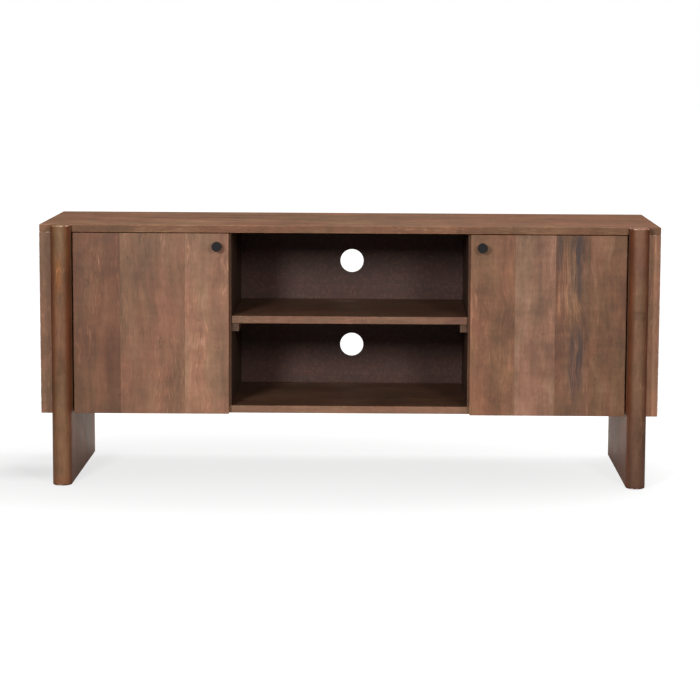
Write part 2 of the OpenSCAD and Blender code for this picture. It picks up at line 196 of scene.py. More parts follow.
def wood(name, grain, across, seed, boards, tones, streaks=0.25, stain=None, mottle=0.85, fleck=1.0,
         rough=0.55, patches=(), front_tint=None, wear="xyz", edge_highlight_and_chips=(0.15, 0.55), nose_shade=None, gloss=0.30, fine=1.0,
         nicks=0.0):
    """Stained, edge-glued mango wood, with all lengths in metres.

    grain, across: axis letters of the grain and of the row of boards
    boards: a board's width, or the places of the glue lines
    tones: the boards' colours, picked from at random for a width and in order for glue lines
    streaks, mottle, fleck, fine: strengths of dark streaks, broad figure, pale flecks and fine grain
    stain: dark mineral streaks, each its middle and half size across and along the grain, and its strength
    patches: tinted areas, some of them painted light or shade, each its middle and half length along the
    grain, its middle and half width along x, the tint, and the axes that its faces look along
    front_tint: the y where a board's tinted front edge ends, and its tint; on the darker inner boards it
    gives the front edge the lit tone against their painted shade
    wear: the axes whose edges are pale; edge_highlight_and_chips: how pale they are everywhere, a painted
    highlight along the edges, and in chips of wear
    nicks: strength of the chips that go through the stain
    nose_shade: the middle and radius in x of a half-round nose, and the y where it ends; the nose gets
    painted shade towards its sides, is a little darker below z 0.2 and has a painted dark rim along its
    foot
    rough, gloss: roughness and specular level"""
    t = Tree(name)
    tc = t.t.nodes.new("ShaderNodeTexCoord").outputs
    co, facing = tc["Object"], t.split(tc["Normal"])
    p = t.split(co)
    thick = ({"x", "y", "z"} - {grain, across}).pop()
    g, a, d = p[AXES[grain]], p[AXES[across]], p[AXES[thick]]
    if isinstance(boards, float):
        place = t.math("DIVIDE", t.math("ADD", a, seed * 0.37 + 7), boards)
        number = t.math("FLOOR", place)
        seam = t.math("MULTIPLY", t.math("PINGPONG", place, 0.5), boards)
    else:
        number, seam = 0.0, 1.0
        for line in boards:
            number = t.math("ADD", t.math("GREATER_THAN", a, line), number)
            seam = t.math("MINIMUM", t.math("ABSOLUTE", t.math("SUBTRACT", a, line)), seam)
    one, three = t.white(t.math("ADD", number, seed * 1.7))
    r = t.split(three)
    if isinstance(boards, float):
        base = t.ramp(one, [(i / max(1, len(tones) - 1), c) for i, c in enumerate(tones)])
    else:
        fac = t.math("DIVIDE", t.math("ADD", number, 0.5), float(len(tones)))
        base = t.ramp(fac, [(i / len(tones), c) for i, c in enumerate(tones)], constant=True)
    shift_a = t.math("MULTIPLY", r[0], 9.0)
    shift_g = t.math("MULTIPLY", r[1], 17.0)
    along = t.math("ADD", g, shift_g)
    plain = t.math("ADD", a, shift_a)

    def field(ka, kg, kd, detail=2.0, roughness=0.5, side=None):
        """Noise with ka, kg and kd features a metre across the boards, along the grain and in depth."""
        return t.noise(t.xyz(t.math("MULTIPLY", side or wander, ka), t.math("MULTIPLY", along, kg),
                             t.math("MULTIPLY", d, kd)), 1.0, detail, roughness)

    bend = field(6.0, 4.5, 2.0, 3.0, 0.55, side=plain)
    wander = t.math("MULTIPLY_ADD", t.math("SUBTRACT", bend, 0.5), 0.060, plain)
    cloud = field(13.0, 8.0, 11.0, 5.0, 0.62)
    broad = field(24.0, 3.0, 18.0, 4.0, 0.60)
    figure = field(14.0, 46.0, 14.0, 3.0, 0.65)
    bands = field(95.0, 7.0, 80.0, 3.0, 0.62)
    fibre = field(420.0, 34.0, 420.0, 2.0, 0.6)
    contour = field(8.0, 1.7, 5.0, 1.0)
    lines = t.math("POWER", t.math("PINGPONG", t.math("MULTIPLY", contour, 17.0), 1.0), 5.0)
    value = around(t, cloud, 1.50 * mottle)
    value = t.math("MULTIPLY", value, around(t, broad, 0.95 * mottle))
    value = t.math("MULTIPLY", value, around(t, figure, 0.50 * mottle))
    value = t.math("MULTIPLY", value, around(t, bands, 0.60 * fine))
    value = t.math("MULTIPLY", value, around(t, fibre, 0.38 * fine))
    where = t.span(field(15.0, 3.0, 12.0, 2.0), 0.44, 0.60)
    rough_line = t.math("MULTIPLY", lines, t.span(field(300.0, 40.0, 300.0, 1.0), 0.35, 0.60))
    figured = t.math("MULTIPLY", rough_line, where)
    value = t.math("MULTIPLY", value, t.math("MULTIPLY_ADD", figured, 0.55 * fleck, 1.0))
    flecks = t.math("MULTIPLY", t.span(field(260.0, 30.0, 260.0, 2.0, 0.6), 0.56, 0.65), where)
    pores = t.span(field(800.0, 60.0, 800.0, 1.0), 0.62, 0.72)
    value = t.math("MULTIPLY", value, t.math("MULTIPLY_ADD", pores, -0.25 * fine, 1.0))
    value = t.math("MULTIPLY", value, t.span(seam, 0.0001, 0.0006, 0.72, 1.0))
    end = t.math("ABSOLUTE", facing[AXES[grain]])
    value = t.math("MULTIPLY", value, t.span(end, 0.7, 0.95, 1.0, 0.72))
    colour = t.scale(base, value)
    colour = t.mix(t.span(value, 1.05, 1.65), colour, t.mix(1.0, colour, (0.94, 1.03, 1.14), "MULTIPLY"))
    # on the inner boards this lifts the front edge out of their painted shade to the lit tone
    if front_tint is not None:
        front_tinted = t.mix(1.0, colour, front_tint[1], "MULTIPLY")
        colour = t.mix(t.span(p[1], front_tint[0] + 0.0008, front_tint[0]), colour, front_tinted)
    hue = field(19.0, 5.0, 15.0, 3.0, 0.6)
    red = t.mix(1.0, colour, (1.05, 0.965, 0.925), "MULTIPLY")
    olive = t.mix(1.0, colour, (0.96, 1.02, 0.93), "MULTIPLY")
    colour = t.mix(t.span(hue, 0.36, 0.64), olive, red)
    pale = t.mix(1.0, colour, (1.42, 1.45, 1.44), "MULTIPLY")
    colour = t.mix(t.math("MULTIPLY", flecks, 0.85 * fleck), colour, pale)
    # small dark curls
    cell = t.t.nodes.new("ShaderNodeTexVoronoi")
    cell.feature = "F1"
    cell.inputs["Scale"].default_value = 1.0
    kink = t.math("SUBTRACT", field(60.0, 40.0, 9.0, 2.0, 0.6), 0.5)
    t.put(cell.inputs["Vector"], t.xyz(t.math("MULTIPLY_ADD", wander, 26.0, kink),
                                       t.math("MULTIPLY_ADD", along, 19.0, kink),
                                       t.math("MULTIPLY", d, 3.0)))
    far = cell.outputs["Distance"]
    ring = t.math("MULTIPLY", t.span(far, 0.10, 0.17), t.span(far, 0.27, 0.19))
    ring = t.math("MULTIPLY", ring, t.span(figure, 0.46, 0.58))
    chance = t.math("GREATER_THAN", t.split(cell.outputs["Color"])[0], 0.66)
    dark = t.math("MULTIPLY", t.span(field(52.0, 3.2, 40.0, 3.0, 0.65), 0.58, 0.72), streaks)
    dark = t.math("MAXIMUM", dark, t.math("MULTIPLY", t.math("MULTIPLY", ring, chance), 0.34))
    colour = t.mix(dark, colour, t.mix(1.0, colour, (0.30, 0.26, 0.26), "MULTIPLY"))
    if stain is not None:
        torn = t.math("SUBTRACT", field(120.0, 8.0, 60.0, 3.0, 0.65), 0.5)
        ragged = t.math("MULTIPLY_ADD", torn, 2.8, -0.15)
        amount = 0.0
        for mid_a, mid_g, half_a, half_g, strength in stain:
            u = t.math("POWER", t.math("DIVIDE", t.math("SUBTRACT", a, mid_a), half_a), 2.0)
            v = t.math("POWER", t.math("DIVIDE", t.math("SUBTRACT", g, mid_g), half_g), 2.0)
            reach = t.math("ADD", t.math("ADD", u, v), ragged)
            amount = t.math("MAXIMUM", amount, t.span(reach, 1.15, 0.10, 0.0, strength))
        streaky = t.span(field(230.0, 5.0, 90.0, 3.0, 0.62), 0.38, 0.58, 0.30, 1.0)
        amount = t.math("MULTIPLY", amount, streaky)
        # pale fine lines beside the second streak
        mid_a = stain[1][0] - 0.012
        mid_g = stain[1][1] - 0.030
        near = t.math("MULTIPLY", t.span(t.math("ABSOLUTE", t.math("SUBTRACT", a, mid_a)), 0.036, 0.020),
                      t.span(t.math("ABSOLUTE", t.math("SUBTRACT", g, mid_g)), 0.110, 0.060))
        glow = t.math("MULTIPLY", t.span(field(360.0, 9.0, 90.0, 2.0), 0.53, 0.60), near)
        pale_line = t.mix(1.0, colour, (1.70, 1.70, 1.55), "MULTIPLY")
        colour = t.mix(t.math("MULTIPLY", glow, 0.85), colour, pale_line)
        colour = t.mix(amount, colour, STAIN)
    for mid_g, half_g, mid_x, half_x, tint, *face in patches:
        far_g = t.math("ABSOLUTE", t.math("SUBTRACT", g, mid_g))
        far_x = t.math("ABSOLUTE", t.math("SUBTRACT", p[0], mid_x))
        near = t.math("MULTIPLY", t.span(far_g, half_g, half_g * 0.3), t.span(far_x, half_x, half_x * 0.4))
        for axis in face:
            near = t.math("MULTIPLY", near, t.math("ABSOLUTE", facing[AXES[axis]]))
        colour = t.mix(near, colour, t.mix(1.0, colour, tint, "MULTIPLY"))
    if nose_shade is not None:
        mid_x, radius, stop = nose_shade
        # painted shade: the nose darkens towards its sides, less below the cabinet, and not behind its
        # curve
        off = t.math("ABSOLUTE", t.math("SUBTRACT", p[0], mid_x))
        turn = t.span(t.math("DIVIDE", off, radius), 0.28, 0.86)
        turn = t.math("MULTIPLY", turn, t.span(p[1], stop + 0.016, stop - 0.004))
        turn = t.math("MULTIPLY", turn, t.span(p[2], 0.150, 0.185, 0.35, 1.0))
        colour = t.mix(turn, colour, t.mix(1.0, colour, (0.68, 0.43, 0.29), "MULTIPLY"))
        # a little darker below z 0.2
        low = t.mix(1.0, colour, (0.88, 0.87, 0.86), "MULTIPLY")
        colour = t.mix(t.span(p[2], 0.20, 0.15), colour, low)
        # painted shade: a dark rim along the foot's eased edge
        rim = t.mix(1.0, colour, (0.42, 0.42, 0.44), "MULTIPLY")
        colour = t.mix(t.span(p[2], 0.007, 0.003, 0.0, 0.8), colour, rim)
    # pale edges: an even painted highlight along them, and pale chips of wear
    level = 0.0
    for axis in wear:
        level = t.math("MAXIMUM", t.math("ABSOLUTE", facing[AXES[axis]]), level)
    if wear == "z":
        edge = t.math("MULTIPLY", t.span(level, 0.08, 0.30), t.span(level, 0.98, 0.85))
    else:
        edge = t.span(level, 0.985, 0.90)
    chips = t.span(t.noise(co, 140.0, 3.0, 0.65), 0.50, 0.62)
    highlight_and_wear = t.math("MULTIPLY", edge, t.math("MULTIPLY_ADD", chips, edge_highlight_and_chips[1], edge_highlight_and_chips[0]))
    colour = t.mix(highlight_and_wear, colour, t.mix(1.0, colour, (1.9, 1.85, 1.75), "MULTIPLY"))
    if nicks:
        bare = t.math("MULTIPLY", edge, t.span(t.noise(co, 105.0, 4.0, 0.72), 0.50, 0.57, 0.0, nicks))
        colour = t.mix(bare, colour, BARE)
    t.set(Base_Color=colour)
    t.set(Roughness=t.math("MULTIPLY_ADD", cloud, 0.20, rough - 0.10))
    t.bsdf.inputs["Specular IOR Level"].default_value = gloss
    height = t.math("MULTIPLY_ADD", pores, -0.8, fibre)
    height = t.math("ADD", height, t.math("MULTIPLY", bands, 0.6))
    height = t.math("ADD", height, t.span(seam, 0.0001, 0.0006, -0.8, 0.0))
    t.bump(height, 0.35 * fine, 0.0004)
    return t.mat


# ---------------------------------------------------------------- other materials
def metal(name, colour, rough, brushed):
    """Plated metal with smudges and fine brushing along y."""
    t = Tree(name)
    co = t.t.nodes.new("ShaderNodeTexCoord").outputs["Object"]
    p = t.split(co)
    fine = t.noise(t.xyz(t.math("MULTIPLY", p[0], 900.0), t.math("MULTIPLY", p[1], 60.0),
                         t.math("MULTIPLY", p[2], 900.0)), 1.0, 2.0)
    smudge = t.noise(co, 35.0, 3.0, 0.6)
    darker = tuple(c * 0.86 for c in colour)
    t.set(Base_Color=t.ramp(smudge, [(0.3, darker), (0.7, colour)]))
    t.bsdf.inputs["Metallic"].default_value = 1.0
    dull = t.math("MULTIPLY_ADD", smudge, 0.12, rough - 0.06)
    t.set(Roughness=t.math("ADD", t.math("MULTIPLY", fine, brushed), dull))
    t.bump(fine, 0.12, 0.00008)
    return t.mat


def coated(name, colour, rough):
    """Painted metal or moulded plastic with a fine texture."""
    t = Tree(name)
    co = t.t.nodes.new("ShaderNodeTexCoord").outputs["Object"]
    fine = t.noise(co, 1400.0, 2.0, 0.6)
    wear = t.noise(co, 60.0, 3.0, 0.6)
    darker = tuple(c * 0.8 for c in colour)
    paler = tuple(c * 1.2 for c in colour)
    t.set(Base_Color=t.ramp(wear, [(0.25, darker), (0.75, paler)]))
    t.set(Roughness=t.math("MULTIPLY_ADD", wear, 0.18, rough - 0.09))
    t.bump(fine, 0.15, 0.0001)
    return t.mat


# ---------------------------------------------------------------- mesh helpers
def link(name, mesh, body, replaced):
    """A visible piece that rides on a body and stands in for the replaced CAD nodes."""
    obj = bpy.data.objects.new(name, mesh)
    bpy.context.scene.collection.objects.link(obj)
    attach(obj, body)
    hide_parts(*replaced)
    return obj


def solid(outline, z0, z1):
    """An upright prism over a plan outline, as a bmesh."""
    bm = bmesh.new()
    low = [bm.verts.new((x, y, z0)) for x, y in outline]
    high = [bm.verts.new((x, y, z1)) for x, y in outline]
    bm.faces.new(list(reversed(low)))
    bm.faces.new(high)
    n = len(outline)
    for i in range(n):
        bm.faces.new((low[i], low[(i + 1) % n], high[(i + 1) % n], high[i]))
    return bm


def cylinder(centre, axis, radius, length, steps=64):
    """A capped cylinder about centre, as a bmesh."""
    bm = bmesh.new()
    turn = Vector((0, 0, 1)).rotation_difference(Vector(axis)).to_matrix().to_4x4()
    bmesh.ops.create_cone(bm, cap_ends=True, segments=steps, radius1=radius, radius2=radius, depth=length,
                          matrix=Matrix.Translation(centre) @ turn)
    return bm


def to_mesh(bm, name):
    bmesh.ops.recalc_face_normals(bm, faces=bm.faces)
    mesh = bpy.data.meshes.new(name)
    bm.to_mesh(mesh)
    bm.free()
    return mesh


def finish_mesh(name, mesh, ease, steps=3, cutters=(), angle=40):
    """Cuts, eases the edges and evens the shading, and returns the final mesh."""
    obj = bpy.data.objects.new(name + "_work", mesh)
    bpy.context.scene.collection.objects.link(obj)
    others = []
    for c in cutters:
        cut = bpy.data.objects.new(name + "_cut", to_mesh(c, name + "_cut"))
        bpy.context.scene.collection.objects.link(cut)
        others.append(cut)
        m = obj.modifiers.new("cut", "BOOLEAN")
        m.operation = "DIFFERENCE"
        m.solver = "EXACT"
        m.object = cut
    b = obj.modifiers.new("ease", "BEVEL")
    b.width = ease
    b.segments = steps
    b.limit_method = "ANGLE"
    b.angle_limit = math.radians(angle)
    b.harden_normals = False
    w = obj.modifiers.new("even", "WEIGHTED_NORMAL")
    w.keep_sharp = False
    for poly in mesh.polygons:
        poly.use_smooth = True
    bpy.context.view_layer.update()
    done = bpy.data.meshes.new_from_object(obj.evaluated_get(bpy.context.evaluated_depsgraph_get()))
    done.name = name
    for poly in done.polygons:
        poly.use_smooth = True
    for o in [obj, *others]:
        bpy.data.objects.remove(o)
    return done


def board(node, material, body, ease=0.0012, outline=None, cutters=(), steps=3):
    """A board that fills its CAD node's box, or an outline within it, with eased edges."""
    lo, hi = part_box(node)
    if outline is None:
        outline = [(lo.x, lo.y), (hi.x, lo.y), (hi.x, hi.y), (lo.x, hi.y)]
    mesh = finish_mesh(node + "_wood", to_mesh(solid(outline, lo.z, hi.z), node), ease, steps, cutters)
    mesh.materials.clear()
    mesh.materials.append(material)
    return link(node + "_wood", mesh, body, [node])


def arc(cx, cy, r, a0, a1, n):
    """n + 1 points on a circle about (cx, cy), from angle a0 to a1 in degrees."""
    return [(cx + r * math.cos(math.radians(a0 + (a1 - a0) * i / n)),
             cy + r * math.sin(math.radians(a0 + (a1 - a0) * i / n))) for i in range(n + 1)]


def dress(node, material, ease=0.0, steps=2):
    """A CAD node that stays: its own mesh, eased edges and a better material."""
    obj = nodes[node]
    obj.data.materials.clear()
    obj.data.materials.append(material)
    if ease:
        weld = obj.modifiers.new("weld", "WELD")
        weld.merge_threshold = 0.00001
        b = obj.modifiers.new("ease", "BEVEL")
        b.width = ease
        b.segments = steps
        b.limit_method = "ANGLE"
        b.angle_limit = math.radians(40)
        obj.modifiers.new("even", "WEIGHTED_NORMAL")


# ---------------------------------------------------------------- palettes
TOP_TONES = [(0.142, 0.061, 0.028), (0.180, 0.083, 0.040)]
SIDE_LEFT_TONES = [(0.146, 0.073, 0.042), (0.180, 0.095, 0.056)]
SIDE_RIGHT_TONES = [(0.226, 0.107, 0.061), (0.274, 0.137, 0.080)]
LEG_LEFT_TONES = [(0.138, 0.067, 0.034), (0.160, 0.078, 0.041)]
LEG_RIGHT_TONES = [(0.144, 0.068, 0.040), (0.157, 0.075, 0.0445)]
DOOR_LEFT_TONES = [(0.125, 0.054, 0.029), (0.171, 0.081, 0.047), (0.208, 0.104, 0.063)]
DOOR_RIGHT_TONES = [(0.177, 0.080, 0.043), (0.186, 0.096, 0.060),
                    (0.130, 0.060, 0.034), (0.127, 0.058, 0.030)]
# the shelves', bottom's, cleats' and dividers' tones are darker copies of the wood: painted shade for the
# dim light inside the cabinet
SHELF_SHADED_TONES = [(0.082, 0.037, 0.020), (0.100, 0.047, 0.026)]
DIVIDER_SHADED_TONES = [(0.035, 0.015, 0.008), (0.044, 0.020, 0.011)]
BACK_TONES = [(0.043, 0.0190, 0.0150), (0.055, 0.0252, 0.0200)]
BEECH_TONES = [(0.55, 0.38, 0.22), (0.60, 0.42, 0.26)]

# tints of the boards' front edges: the top's a little darker and bluer; the inner boards' lifted to the
# lit tone out of the painted shade of their darker tones
TOP_FRONT_TINT = (0.86, 0.91, 1.10)
CASE_FRONT_LIT = (1.90, 2.08, 2.28)
DIVIDER_FRONT_LIT = (2.4, 2.4, 2.4)
SHELF_FRONT_LIT = (1.48, 1.53, 1.68)

# where the doors' boards meet, as shares of the width from the left edge
LEFT_JOINTS = (0.302, 0.718)
RIGHT_JOINTS = (0.285, 0.545, 0.765)

# the right door's mineral streaks
DARK_STREAKS = ((0.550, 0.582, 0.020, 0.050, 0.97),
                (0.542, 0.530, 0.008, 0.066, 0.88),
                (0.557, 0.520, 0.009, 0.070, 0.80),
                (0.551, 0.330, 0.018, 0.068, 0.92),
                (0.547, 0.272, 0.021, 0.064, 0.70),
                (0.507, 0.575, 0.008, 0.058, 0.62))


def front_of(node):
    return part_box(node)[0].y


left_lo, left_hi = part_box("door_left")
right_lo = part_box("door_right")[0]
width = left_hi.x - left_lo.x
left_lines = [left_lo.x + width * s for s in LEFT_JOINTS]
right_lines = [right_lo.x + width * s for s in RIGHT_JOINTS]

# the middle of each leg's half-round nose, its radius, and where its curve ends
nose = [(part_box(f"leg_{s}")[0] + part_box(f"leg_{s}")[1]).x / 2 for s in ("left", "right")]
round_r = nose[1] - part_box("leg_right")[0].x
stop = front_of("leg_left") + round_r

# the top: a painted sheen, paler and bluer over its face at the left end, and a little darker and redder
# towards the right end, where less sheen shows
top_mat = wood("top_boards", "x", "y", 3.0, 0.083, TOP_TONES, 0.30, rough=0.66, edge_highlight_and_chips=(0.50, 0.40),
               patches=((-0.70, 0.70, -0.70, 0.70, (1.28, 1.35, 1.52), "z"),
                        (0.70, 0.70, 0.70, 0.70, (0.98, 0.87, 0.79), "z")),
               front_tint=(front_of("top_panel") + 0.001, TOP_FRONT_TINT), gloss=0.19)
side_mat_l = wood("side_boards_left", "z", "y", 11.0, 0.090, SIDE_LEFT_TONES, 0.35,
                  edge_highlight_and_chips=(0.20, 0.80), nicks=0.95)
# the right side's front edge: painted shade over its outer half, where the corner turns from the light,
# and a pale scratch near its top
side_mat_r = wood("side_boards_right", "z", "y", 12.4, 0.090, SIDE_RIGHT_TONES, 0.30, mottle=0.6,
                  patches=((0.400, 0.600, 0.750, 0.014, (0.80, 0.77, 0.80), "y"),
                           (0.587, 0.023, 0.7376, 0.0013, (1.75, 1.70, 1.65), "y")),
                  edge_highlight_and_chips=(0.20, 0.95), nicks=0.95)
# the left leg: an orange spot on the nose, its upper end, painted shade low on its inner face, and its
# foot; its nose gets painted shade towards the sides
leg_mat_l = wood("leg_boards_left", "z", "y", 21.0, 0.095, LEG_LEFT_TONES, 0.45, mottle=0.7, wear="z",
                 patches=((0.515, 0.060, -0.698, 0.011, (1.35, 1.06, 0.78)),
                          (0.640, 0.030, nose[0], 0.10, (1.95, 1.85, 1.75), "z"),
                          (0.060, 0.260, nose[0] + round_r, 0.006, (0.84, 0.68, 0.58), "x"),
                          (0.000, 0.034, nose[0], 0.030, (1.14, 0.98, 0.92))),
                 nose_shade=(nose[0], round_r, stop), gloss=0.22, nicks=0.85)
# the right leg: its darker lower part, its upper end, and painted light low on its inner face; its nose
# gets painted shade towards the sides
leg_mat_r = wood("leg_boards_right", "z", "y", 27.0, 0.095, LEG_RIGHT_TONES, 0.45, mottle=0.6, wear="z",
                 patches=((0.02, 0.24, 0.700, 0.10, (0.62, 0.62, 0.62)),
                          (0.640, 0.030, nose[1], 0.10, (1.95, 1.80, 1.70), "z"),
                          (0.060, 0.260, nose[1] - round_r, 0.006, (1.42, 1.08, 0.88), "x")),
                 nose_shade=(nose[1], round_r, stop), gloss=0.22, nicks=0.85)
door_mat_l = wood("door_boards_left", "z", "x", 31.0, left_lines, DOOR_LEFT_TONES, 0.20, fleck=1.3)
door_mat_r = wood("door_boards_right", "z", "x", 44.0, right_lines, DOOR_RIGHT_TONES, 0.25,
                  mottle=1.20, fleck=0.6, stain=DARK_STREAKS)
case_mat = wood("case_boards", "x", "y", 51.0, 0.088, SHELF_SHADED_TONES, 0.30,
                front_tint=(front_of("bottom_panel") + 0.003, CASE_FRONT_LIT))
div_mat = wood("divider_boards", "z", "y", 57.0, 0.092, DIVIDER_SHADED_TONES, 0.30,
               front_tint=(front_of("divider_left") + 0.001, DIVIDER_FRONT_LIT))
inside_mat = wood("shelf_boards", "x", "y", 63.0, 0.085, SHELF_SHADED_TONES, 0.30,
                  front_tint=(front_of("center_shelf") + 0.003, SHELF_FRONT_LIT))
bay_mat = wood("side_shelf_boards", "x", "y", 66.0, 0.085, SHELF_SHADED_TONES, 0.30,
               front_tint=(front_of("left_shelf") + 0.003, SHELF_FRONT_LIT))
cleat_mat = wood("cleat_wood", "y", "z", 71.0, 0.30, SHELF_SHADED_TONES, 0.25)
back_mat = wood("back_veneer", "x", "z", 83.0, 0.24, BACK_TONES, 0.0, mottle=0.3, fleck=0.0, rough=0.6,
                wear="", fine=0.3)
dowel_mat = wood("dowel_beech", "z", "x", 91.0, 0.30, BEECH_TONES, 0.0, mottle=0.3, wear="")
nickel = metal("nickel", (0.60, 0.59, 0.57), 0.30, 0.10)
zinc = metal("zinc", (0.50, 0.49, 0.46), 0.38, 0.08)
black_mat = coated("black_powder", (0.005, 0.005, 0.006), 0.62)
black_mat.node_tree.nodes["Principled BSDF"].inputs["Specular IOR Level"].default_value = 0.20
plastic = coated("black_moulding", (0.014, 0.014, 0.015), 0.55)

# ---------------------------------------------------------------- boards
lo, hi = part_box("top_panel")
leg_lo, leg_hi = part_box("leg_left")
# the notch's depth, the gap around the nose in it, and the plan radius of the top's corners
notch = 12 * MM
gap = 0.5 * MM
corner = 5 * MM
notch_l = [(leg_lo.x - gap, lo.y), (leg_lo.x - gap, lo.y + notch),
           (leg_hi.x + gap, lo.y + notch), (leg_hi.x + gap, lo.y)]
notch_r = [(-x, y) for x, y in reversed(notch_l)]
top_plan = (arc(lo.x + corner, lo.y + corner, corner, 180, 270, 8) + notch_l + notch_r
            + arc(hi.x - corner, lo.y + corner, corner, 270, 360, 8)
            + arc(hi.x - corner, hi.y - corner, corner, 0, 90, 8)
            + arc(lo.x + corner, hi.y - corner, corner, 90, 180, 8))
board("top_panel", top_mat, "cabinet", 0.0018, top_plan)

board("side_panel_left", side_mat_l, "cabinet", 0.0022)
board("side_panel_right", side_mat_r, "cabinet", 0.0022)


def leg(node, material):
    """A full-depth slab with a half-round nose that rises through the notch in the top."""
    a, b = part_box(node)
    r = (b.x - a.x) / 2
    curve = arc(a.x + r, a.y + r, r, 180, 360, 32)
    step = lo.y + notch - gap
    bm = solid(curve + [(b.x, b.y), (a.x, b.y)], a.z, lo.z)
    tip = solid(curve + [(b.x, step), (a.x, step)], lo.z, b.z)
    # join the two prisms into one solid, then merge the flat faces that the join leaves split
    slab = to_mesh(bm, node)
    cap = to_mesh(tip, node + "_tip")
    one = bpy.data.objects.new(node + "_a", slab)
    two = bpy.data.objects.new(node + "_b", cap)
    for o in (one, two):
        bpy.context.scene.collection.objects.link(o)
    m = one.modifiers.new("join", "BOOLEAN")
    m.operation = "UNION"
    m.solver = "EXACT"
    m.object = two
    bpy.context.view_layer.update()
    both = bpy.data.meshes.new_from_object(one.evaluated_get(bpy.context.evaluated_depsgraph_get()))
    for o in (one, two):
        bpy.data.objects.remove(o)
    bm = bmesh.new()
    bm.from_mesh(both)
    bmesh.ops.remove_doubles(bm, verts=bm.verts, dist=1e-6)
    bmesh.ops.dissolve_limit(bm, angle_limit=math.radians(0.5), verts=bm.verts, edges=bm.edges)
    mesh = finish_mesh(node + "_wood", to_mesh(bm, node), 0.0030, 3)
    mesh.materials.clear()
    mesh.materials.append(material)
    return link(node + "_wood", mesh, "cabinet", [node])


leg("leg_left", leg_mat_l)
leg("leg_right", leg_mat_r)

# the bottom panel's front corners are cut back at the doors' hinged ends, by this width and depth
cut_width = 43 * MM
cut_depth = 14 * MM
base_lo, base_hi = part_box("bottom_panel")
cut_left = base_lo.x + cut_width
cut_right = base_hi.x - cut_width
cut_back = base_lo.y + cut_depth
base_plan = [(base_lo.x, cut_back), (cut_left, cut_back), (cut_left, base_lo.y), (cut_right, base_lo.y),
             (cut_right, cut_back), (base_hi.x, cut_back), (base_hi.x, base_hi.y), (base_lo.x, base_hi.y)]
board("bottom_panel", case_mat, "cabinet", 0.0014, base_plan)
board("divider_left", div_mat, "cabinet", 0.0012)
board("divider_right", div_mat, "cabinet", 0.0012)
board("center_shelf", inside_mat, "cabinet", 0.0014)
board("left_shelf", bay_mat, "cabinet", 0.0014)
board("right_shelf", bay_mat, "cabinet", 0.0014)
for name in ("center_cleat_left", "center_cleat_right", "left_cleat_outer", "left_cleat_inner",
             "right_cleat_outer", "right_cleat_inner"):
    board(name, cleat_mat, "cabinet", 0.0010)

holes = [m for m in frame["record"]["mounts"] if m["kind"] == "bore"]
back_cuts = [cylinder(m["pos_m"], (0, 1, 0), m["dims"]["r_mm"] * MM, 0.05, 96) for m in holes]
board("back_panel", back_mat, "cabinet", 0.0006, cutters=back_cuts, steps=2)

# ---------------------------------------------------------------- doors, with their hinge-cup pockets
# a pocket's radius and depth, and how far its middle lies from the hinge pin, towards the cabinet's middle
pocket_r = 17.5 * MM
pocket_depth = 13 * MM
pocket_shift = 3.5 * MM
for side, material in (("left", door_mat_l), ("right", door_mat_r)):
    flip = -1 if side == "left" else 1
    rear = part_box(f"door_{side}")[1].y
    cuts = []
    for end in ("upper", "lower"):
        a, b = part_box(f"cup_{side}_{end}")
        pin_lo, pin_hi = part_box(f"pin_{side}_{end}")
        place = ((pin_lo.x + pin_hi.x) / 2 - flip * pocket_shift, rear, (a.z + b.z) / 2)
        cuts.append(cylinder(place, (0, 1, 0), pocket_r, 2 * pocket_depth, 64))
    board(f"door_{side}", material, f"door_{side}", 0.0016, cutters=cuts)


# ---------------------------------------------------------------- turned knobs
def turned(profile, steps=64):
    """A solid of revolution about +Z from (radius, height) points."""
    bm = bmesh.new()
    rings = []
    for r, z in profile:
        if r < 1e-7:
            rings.append([bm.verts.new((0, 0, z))])
        else:
            turns = [2 * math.pi * i / steps for i in range(steps)]
            rings.append([bm.verts.new((r * math.cos(a), r * math.sin(a), z)) for a in turns])
    for low, high in zip(rings, rings[1:]):
        for i in range(steps):
            j = (i + 1) % steps
            quad = [low[i % len(low)], low[j % len(low)], high[j % len(high)], high[i % len(high)]]
            face = []
            for v in quad:
                if v not in face:
                    face.append(v)
            if len(face) > 2:
                bm.faces.new(face)
    return bm


def knob(side):
    """A turned knob: a foot, a waisted stem and a flat head with rounded edges."""
    a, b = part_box(f"knob_{side}")
    r, out = (b.x - a.x) / 2, b.y - a.y
    # how far behind its face the head's rear edge starts to round, and the radii of both edges
    rim = 7 * MM
    front_round = 1.4 * MM
    rear_round = 2.2 * MM
    edge = [(r - front_round * (1 - math.sin(t)), out - front_round * (1 - math.cos(t)))
            for t in (math.radians(x) for x in (90, 70, 50, 30, 10, 0))]
    under = [(r - rear_round * (1 - math.cos(t)), out - rim - rear_round * math.sin(t))
             for t in (math.radians(x) for x in (85, 60, 40, 20, 0))]
    profile = [(0, 0), (6.6 * MM, 0), (7 * MM, 0.4 * MM), (7 * MM, 1.2 * MM), (6.0 * MM, 2.2 * MM),
               (4.9 * MM, 3.4 * MM), (4.5 * MM, 5 * MM), (4.5 * MM, 10 * MM), (5.0 * MM, 12.2 * MM),
               (6.6 * MM, 13.8 * MM)]
    profile += under + edge + [(r * 0.6, out), (0, out)]
    bm = turned(profile)
    seat = Matrix.Translation(((a.x + b.x) / 2, b.y, (a.z + b.z) / 2))
    bm.transform(seat @ Matrix.Rotation(math.radians(90), 4, "X"))
    mesh = to_mesh(bm, f"knob_{side}_turned")
    for poly in mesh.polygons:
        poly.use_smooth = True
    mesh.materials.append(black_mat)
    obj = link(f"knob_{side}_turned", mesh, f"door_{side}", [f"knob_{side}"])
    obj.modifiers.new("even", "WEIGHTED_NORMAL")


knob("left")
knob("right")


